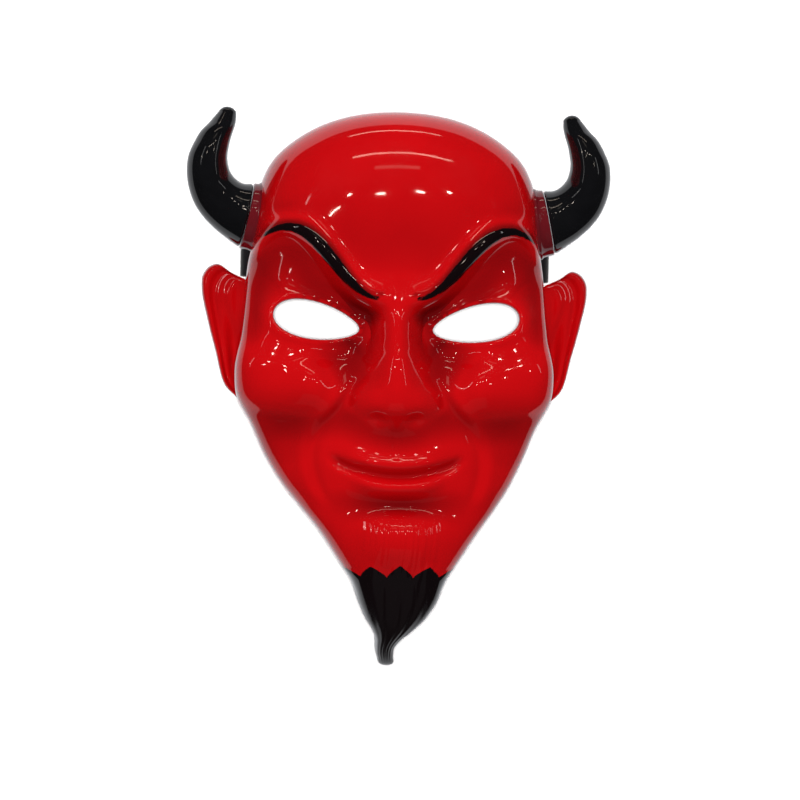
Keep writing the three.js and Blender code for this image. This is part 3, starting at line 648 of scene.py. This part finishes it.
# round sections that span from the inner to the outer edge; the tip is the end of a ball
def makeHorn(name, side, material):
    travel = np.r_[np.linspace(0, horn["length"], horn["steps"]), np.full(horn["capSteps"], horn["length"])]
    ball = np.r_[np.full(horn["steps"], horn["tipStart"]),
                 np.linspace(horn["tipStart"], math.pi / 2, horn["capSteps"] + 1)[1:]]
    innerX, innerY, outerX, outerY, z = (curveThrough(hornEdges, travel, column) for column in range(1, 6))
    centre = np.stack([(innerX + outerX) / 2, (innerY + outerY) / 2, z], -1)
    out = np.stack([(outerX - innerX) / 2, (outerY - innerY) / 2, 0 * z], -1)
    radius = np.linalg.norm(out, axis=-1, keepdims=True)
    settled = smoothStep(0, horn["settles"], travel)[:, None]
    up = unit(unit(np.cross(out, hornAxis)) * (1 - settled) + np.array([0, 0, 1.0]) * settled)
    shrink = (np.cos(ball) / math.cos(horn["tipStart"]))[:, None]
    advance = radius * ((np.sin(ball) - math.sin(horn["tipStart"])) / math.cos(horn["tipStart"]))[:, None]
    centre += hornAxis * horn["gap"] + unit(np.cross(up, out)) * advance
    turn = np.linspace(0, 2 * math.pi, horn["around"], endpoint=False)[None, :, None]
    edge = np.sqrt(np.clip(travel / horn["seatRound"], 0, 1)) * horn["seatLoss"] + (1 - horn["seatLoss"])
    edge = np.minimum(edge, 1)[:, None, None]
    ring = (out[:, None] * np.cos(turn) + (up * radius)[:, None] * np.sin(turn)) * shrink[:, None] * edge
    waves = np.sin(hornRidges["count"] * turn[..., 0] + hornRidges["twist"] * travel[:, None])
    waves = waves * smoothStep(*hornRidges["starts"], travel)[:, None]
    body = centre[:, None] + ring * (1 + hornRidges["height"] * waves)[..., None]
    seat = centre[:1, None] + ring[:1] * np.array(horn["seatRows"])[:, None, None]
    surface = Surface()
    surface.add(np.concatenate([seat, body]) * np.array([side, 1, 1]), flip=side < 0, closed=True)
    return surface.make(name, material)


# The strap: flat elastic lying slack inside, each end looped through its slot and round the rim

strap = dict(y=61.0, width=14.0, thickness=1.2, restZ=0.15, slack=28.0, slackHalfSpan=54.0,
             runSteps=150, cornerSteps=12, flatSteps=15, edgeSteps=7)
loop = dict(inner=64.5, outer=78.2, corner=2.6)


# a run at rest height with a cosine hump in the middle, in X and Z
def slackRun():
    end = loop["inner"] + loop["corner"]
    x = np.linspace(-end, end, strap["runSteps"])
    turn = math.pi * np.minimum(np.abs(x) / strap["slackHalfSpan"], 1)
    z = strap["restZ"] + strap["thickness"] / 2 + strap["slack"] / 2 * (1 + np.cos(turn))
    return np.stack([x, z], -1)


# a closed rectangle with round corners round the rim, in X and Z
def loopRun(side):
    r, low, high = loop["corner"], strap["restZ"] + strap["thickness"] / 2, slot["z"]
    middles = [(loop["outer"] - r, low + r), (loop["outer"] - r, high - r), (loop["inner"] + r, high - r),
               (loop["inner"] + r, low + r)]
    arcs = []
    for quarter, (x, z) in enumerate(middles):
        turn = np.radians(90 * quarter - 90 + np.linspace(0, 90, strap["cornerSteps"]))
        arcs.append(np.stack([x + r * np.cos(turn), z + r * np.sin(turn)], -1))
    return np.concatenate(arcs) * np.array([side, 1])


# a flat section with half-round edges carried along a run, with the distances along and across the band
def addBand(surface, path, closed, flip):
    around = np.concatenate([path, path[:1]]) if closed else path
    ahead = np.roll(path, -1, 0) - np.roll(path, 1, 0) if closed else np.gradient(path, axis=0)
    normal = unit(np.stack([-ahead[:, 1], ahead[:, 0]], -1))
    normal = np.concatenate([normal, normal[:1]]) if closed else normal
    half, width = strap["thickness"] / 2, strap["width"] / 2
    edge = np.radians(np.linspace(90, -90, strap["edgeSteps"]))[1:-1]
    flat = np.linspace(-width + half, width - half, strap["flatSteps"])
    v, w = np.r_[flat, width - half + half * np.cos(edge)], np.r_[0 * flat + half, half * np.sin(edge)]
    v, w = np.r_[v, -v], np.r_[w, -w]
    grid = np.stack([around[:, :1] + normal[:, :1] * w, strap["y"] + v + 0 * around[:, :1],
                     around[:, 1:] + normal[:, 1:] * w], -1)
    run = np.r_[0, np.cumsum(np.linalg.norm(np.diff(around, axis=0), axis=1))][:, None]
    if not closed:
        ends = grid[[0, -1]].mean(1, keepdims=True) + np.zeros((2, len(v), 3))
        grid, run = np.concatenate([ends[:1], grid, ends[1:]]), np.concatenate([run[:1], run, run[-1:]])
    surface.add(grid, closed=True, flip=flip, run=run, across=v[None])


# the slack run and a loop at each end, which it meets at the slots
def makeStrap(material):
    surface = Surface()
    addBand(surface, slackRun(), False, True)
    for side in (-1, 1):
        addBand(surface, loopRun(side), True, side < 0)
    return surface.make("strapBand", material)


# Materials

# sRGB hex colour to linear values
def linear(hexColour):
    values = [int(hexColour[i:i + 2], 16) / 255 for i in (1, 3, 5)]
    return [*(v / 12.92 if v <= 0.04045 else ((v + 0.055) / 1.055) ** 2.4 for v in values), 1.0]


# adds one node with its settings, sets or links its inputs, and gives back one of its outputs
def addNode(material, kind, inputs=None, output=0, **settings):
    nodes, links = material.node_tree.nodes, material.node_tree.links
    node = nodes["Principled BSDF"] if kind == "Principled" else nodes.new("ShaderNode" + kind)
    for key, value in settings.items():
        setattr(node, key, value)
    for key, value in (inputs or {}).items():
        if isinstance(value, bpy.types.NodeSocket):
            links.new(value, node.inputs[key])
        else:
            node.inputs[key].default_value = value
    return node.outputs[output]


def newMaterial(name):
    material = bpy.data.materials.new(name)
    material.use_nodes = True
    return material, addNode(material, "TexCoord", output="Object")


# Polystyrene sheet, vacuum formed and lacquered red: a mirror gloss over a skin that wanders a little,
# with brows and goatee in gloss black paint. The inside keeps the duller face of the sheet.
def lacqueredPolystyrene():
    m, place = newMaterial("lacqueredPolystyrene")
    # 3 mm brush wander
    edge = addNode(m, "TexNoise", {"Vector": place, "Scale": 1 / (3 * mm), "Detail": 2.0})
    wander = addNode(m, "MapRange",
                     {"Value": edge, "From Min": 0.3, "From Max": 0.7, "To Min": -0.18, "To Max": 0.18})
    browAway = addNode(m, "Attribute", output="Fac", attribute_name="browDistance")
    goateeAway = addNode(m, "Attribute", output="Fac", attribute_name="goateeDistance")
    nearest = addNode(m, "Math", {0: browAway, 1: goateeAway}, operation="MINIMUM")
    nearest = addNode(m, "Math", {0: nearest, 1: wander}, operation="ADD")
    paint = addNode(m, "MapRange", {"Value": nearest, "From Min": 0.25, "From Max": -0.25})
    # uneven lacquer
    cloud = addNode(m, "TexNoise", {"Vector": place, "Scale": 1 / (38 * mm), "Detail": 3.0})
    red = addNode(m, "Mix",
                  {0: cloud, 6: linear("#8E0205"), 7: linear("#A80509")}, output=2, data_type="RGBA")
    # painted shade: the red darkens in the hollows, where shade falls
    hollow = addNode(m, "Attribute", output="Fac", attribute_name="hollow")
    red = addNode(m, "Mix", {0: hollow, 6: red, 7: linear("#580103")}, output=2, data_type="RGBA")
    inside = addNode(m, "Attribute", output="Fac", attribute_name="inside")
    red = addNode(m, "Mix", {0: inside, 6: red, 7: linear("#7A0609")}, output=2, data_type="RGBA")
    onCollar = addNode(m, "Attribute", output="Fac", attribute_name="onCollar")
    red = addNode(m, "Mix", {0: onCollar, 6: red, 7: linear("#4E0C12")}, output=2, data_type="RGBA")
    shade = addNode(m, "Attribute", output="Fac", attribute_name="browShade")
    shade = addNode(m, "Math", {0: shade, 1: 0.75}, operation="MULTIPLY")
    red = addNode(m, "Mix", {0: shade, 6: red, 7: linear("#2A0303")}, output=2, data_type="RGBA")
    colour = addNode(m, "Mix", {0: paint, 6: red, 7: linear("#070203")}, output=2, data_type="RGBA")
    smear = addNode(m, "TexNoise", {"Vector": place, "Scale": 1 / (14 * mm), "Detail": 2.0})
    gloss = addNode(m, "MapRange",
                    {"Value": smear, "From Min": 0.3, "From Max": 0.7, "To Min": 0.03, "To Max": 0.07})
    dull = addNode(m, "Math", {0: inside, 1: 0.35}, operation="MULTIPLY")
    gloss = addNode(m, "Math", {0: gloss, 1: dull}, operation="ADD")
    onGoatee = addNode(m, "MapRange", {"Value": goateeAway, "From Min": -4.0, "From Max": -16.0,
                                       "To Max": goatee["rough"]})
    gloss = addNode(m, "Math", {0: gloss, 1: onGoatee}, operation="ADD")
    # sheet pulled unevenly
    sag = addNode(m, "TexNoise", {"Vector": place, "Scale": 1 / (26 * mm), "Detail": 1.0})
    sag = addNode(m, "Bump", {"Height": sag, "Strength": 1.0, "Distance": 0.12 * mm}, output="Normal")
    ripple = addNode(m, "TexNoise", {"Vector": place, "Scale": 1 / (7 * mm), "Detail": 1.0})
    ripple = addNode(m, "Bump",
                     {"Height": ripple, "Strength": 1.0, "Distance": 0.008 * mm, "Normal": sag},
                     output="Normal")
    peel = addNode(m, "TexNoise", {"Vector": place, "Scale": 1 / (1.6 * mm), "Detail": 1.0})  # orange peel
    peel = addNode(m, "Bump",
                   {"Height": peel, "Strength": 1.0, "Distance": 0.0004 * mm, "Normal": ripple},
                   output="Normal")
    addNode(m, "Principled", {"Base Color": colour, "Roughness": gloss, "IOR": 1.5, "Normal": peel})
    return m


# ABS moulded in black and left glossy: deep black with shallow flow ripples along the horn
def glossBlackAbs():
    m, place = newMaterial("glossBlackAbs")
    cloud = addNode(m, "TexNoise", {"Vector": place, "Scale": 1 / (9 * mm), "Detail": 3.0})
    shade = addNode(m, "Mix",
                    {0: cloud, 6: linear("#040405"), 7: linear("#0B0B0D")}, output=2, data_type="RGBA")
    smear = addNode(m, "TexNoise", {"Vector": place, "Scale": 1 / (6 * mm), "Detail": 2.0})
    gloss = addNode(m, "MapRange",
                    {"Value": smear, "From Min": 0.3, "From Max": 0.7, "To Min": 0.04, "To Max": 0.1})
    flow = addNode(m, "TexNoise", {"Vector": place, "Scale": 1 / (11 * mm), "Detail": 1.0})
    flow = addNode(m, "Bump", {"Height": flow, "Strength": 1.0, "Distance": 0.02 * mm}, output="Normal")
    peel = addNode(m, "TexNoise", {"Vector": place, "Scale": 1 / (1.4 * mm), "Detail": 1.0})
    peel = addNode(m, "Bump",
                   {"Height": peel, "Strength": 1.0, "Distance": 0.0004 * mm, "Normal": flow},
                   output="Normal")
    addNode(m, "Principled", {"Base Color": shade, "Roughness": gloss, "IOR": 1.46, "Normal": peel})
    return m


# Polyester and rubber webbing, woven: 0.9 mm ribs across the band and 0.7 mm yarns along it, no shine
def wovenElastic():
    m, place = newMaterial("wovenElastic")
    run = addNode(m, "Attribute", output="Fac", attribute_name="run")
    across = addNode(m, "Attribute", output="Fac", attribute_name="across")
    ribs = addNode(m, "Math", {0: run, 1: 2 * math.pi / 0.9}, operation="MULTIPLY")
    ribs = addNode(m, "Math", {0: ribs}, operation="SINE")
    yarns = addNode(m, "Math", {0: across, 1: 2 * math.pi / 0.7}, operation="MULTIPLY")
    yarns = addNode(m, "Math", {0: yarns}, operation="SINE")
    weave = addNode(m, "Math", {0: ribs, 1: yarns}, operation="MULTIPLY")
    weave = addNode(m, "MapRange", {"Value": weave, "From Min": -1.0, "From Max": 1.0})
    # woven pattern and, in part, painted highlight: the raised yarns are coloured lighter
    shade = addNode(m, "Mix",
                    {0: weave, 6: linear("#050506"), 7: linear("#19191C")}, output=2, data_type="RGBA")
    fuzz = addNode(m, "TexNoise", {"Vector": place, "Scale": 1 / (0.5 * mm), "Detail": 3.0})
    fuzz = addNode(m, "Bump", {"Height": fuzz, "Strength": 1.0, "Distance": 0.05 * mm}, output="Normal")
    raised = addNode(m, "Bump",
                     {"Height": weave, "Strength": 1.0, "Distance": 0.15 * mm, "Normal": fuzz},
                     output="Normal")
    addNode(m, "Principled",
            {"Base Color": shade, "Roughness": 0.85, "Sheen Weight": 0.3, "Sheen Roughness": 0.5,
             "Normal": raised})
    return m


# Paper background roll: matt white with the faintest cloudiness
def whitePaper():
    m, place = newMaterial("whitePaper")
    cloud = addNode(m, "TexNoise", {"Vector": place, "Scale": 1 / (60 * mm), "Detail": 4.0})
    shade = addNode(m, "Mix",
                    {0: cloud, 6: linear("#F4F4F4"), 7: linear("#F8F8F8")}, output=2, data_type="RGBA")
    addNode(m, "Principled", {"Base Color": shade, "Roughness": 0.9, "Specular IOR Level": 0.2})
    return m


# Camera, floor and light

view = dict(distance=1100.0, focusZ=30.0, frameWidth=400.0, yaw=3.0, roll=1.1, aimX=2.6, aimY=-7.5)
surroundings = dict(colour="#F6F8FC", above=0.05, below=0.95, lightTo=-0.2, darkFrom=-0.17)
unseenLamps = ("mainLight", "topLight")
# name, place and size in metres, watts, colour. The unseen lamps light the mask and the floor without being
# mirrored; the main one sits at the camera, so its shadows hide. The others are only seen mirrored.
lamps = [
    ("mainLight", (-0.055, -0.0075, 1.13), (0.04, 0.04), 14.5, "#FFFFFF"),
    ("topLight", (0.0, 1.1, 0.9), (1.6, 0.8), 18.0, "#FFFFFF"),
    ("softBox", (0.03, 1.0, 1.04), (0.34, 0.05), 0.06, "#FFF0E0"),
    ("lowBox", (0.0, -0.9, 0.75), (0.9, 0.8), 0.12, "#FFFFFF"),
    ("leftStrip", (-0.75, 0.45, 0.75), (0.5, 0.03), 0.24, "#FFFFFF"),
    ("rightStrip", (0.8, 0.4, 0.7), (0.4, 0.03), 0.21, "#FFFFFF"),
    ("rowA", (-0.29, 0.66, 1.09), (0.03, 0.02), 0.15, "#FFF0E0"),
    ("rowB", (-0.07, 0.65, 1.14), (0.05, 0.015), 0.2, "#FFF0E0"),
    ("rowC", (0.18, 0.66, 1.11), (0.05, 0.015), 0.2, "#FFF0E0"),
    ("rowD", (0.38, 0.68, 1.05), (0.03, 0.02), 0.15, "#FFF0E0"),
    ("leftSpot", (-0.39, 0.49, 1.15), (0.08, 0.015), 0.25, "#FFF0E0"),
    ("rightSpot", (0.56, 0.42, 1.09), (0.02, 0.03), 0.15, "#FFF0E0"),
    ("cheekSpot", (-0.90, 0.41, 0.83), (0.025, 0.025), 0.15, "#FFF0E0"),
    ("highStrip", (0.06, 1.04, 0.76), (0.75, 0.03), 0.6, "#FFECD8"),
    ("lowStrip", (0.0, 1.3, 0.15), (0.7, 0.03), 0.6, "#FFECD8"),
]


def makeCamera():
    data = bpy.data.cameras.new("camera")
    data.sensor_width = 36.0
    data.lens = data.sensor_width * view["distance"] / view["frameWidth"]
    data.clip_start = 0.01
    camera = bpy.data.objects.new("camera", data)
    bpy.context.scene.collection.objects.link(camera)
    aim = Vector((view["aimX"], view["aimY"], view["focusZ"])) * mm
    yaw = Matrix.Rotation(math.radians(-view["yaw"]), 4, "Y")
    roll = Matrix.Rotation(math.radians(view["roll"]), 4, "Z")
    back = Matrix.Translation((0, 0, view["distance"] * mm))
    camera.matrix_world = Matrix.Translation(aim) @ yaw @ roll @ back
    bpy.context.scene.camera = camera


# every lamp faces the mask's middle
def makeLamp(name, place, size, power, colour):
    data = bpy.data.lights.new(name, "AREA")
    data.energy, data.color = power, linear(colour)[:3]
    data.shape, data.size, data.size_y = "RECTANGLE", *size
    lamp = bpy.data.objects.new(name, data)
    lamp.location = place
    lamp.rotation_euler = (-Vector(place)).to_track_quat("-Z", "Y").to_euler()
    lamp.visible_glossy = name not in unseenLamps
    lamp.visible_diffuse = not lamp.visible_glossy
    bpy.context.scene.collection.objects.link(lamp)


# dark down to a little under the horizon, then light: the gloss mirrors this in place of the floor
def makeSurroundings():
    world = bpy.data.worlds.new("studio")
    bpy.context.scene.world = world
    world.use_nodes = True
    nodes, links = world.node_tree.nodes, world.node_tree.links
    way, split, level = (nodes.new("ShaderNode" + kind) for kind in ("TexCoord", "SeparateXYZ", "MapRange"))
    ends = {"From Min": "lightTo", "From Max": "darkFrom", "To Min": "below", "To Max": "above"}
    for key, value in ends.items():
        level.inputs[key].default_value = surroundings[value]
    links.new(way.outputs["Generated"], split.inputs[0])
    links.new(split.outputs["Z"], level.inputs["Value"])
    links.new(level.outputs[0], nodes["Background"].inputs["Strength"])
    nodes["Background"].inputs["Color"].default_value = linear(surroundings["colour"])


# a square of 6 metres on which the rim rests, and which the gloss doesn't mirror
def makeFloor():
    size = 3.0
    mesh = bpy.data.meshes.new("floor")
    corners = [(-size, -size, 0), (size, -size, 0), (size, size, 0), (-size, size, 0)]
    mesh.from_pydata(corners, [], [(0, 1, 2, 3)])
    mesh.materials.append(whitePaper())
    floor = bpy.data.objects.new("floor", mesh)
    bpy.context.scene.collection.objects.link(floor)
    floor.visible_glossy = False


makeCamera()
makeSurroundings()
makeFloor()
for lampSettings in lamps:
    makeLamp(*lampSettings)
bpy.context.scene.view_settings.view_transform = "Standard"
report("camera, floor and light")

red, black, elastic = lacqueredPolystyrene(), glossBlackAbs(), wovenElastic()
pieces = [
    (makeShell(red), "mask_shell", "red_plastic"),
    (makeHorn("hornLeft", -1, black), "horn_left", "black_plastic"),
    (makeHorn("hornRight", 1, black), "horn_right", "black_plastic"),
    (makeStrap(elastic), "strap", "black_elastic"),
]
for piece, node, slotName in pieces:
    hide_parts(node)
    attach(piece, "root")
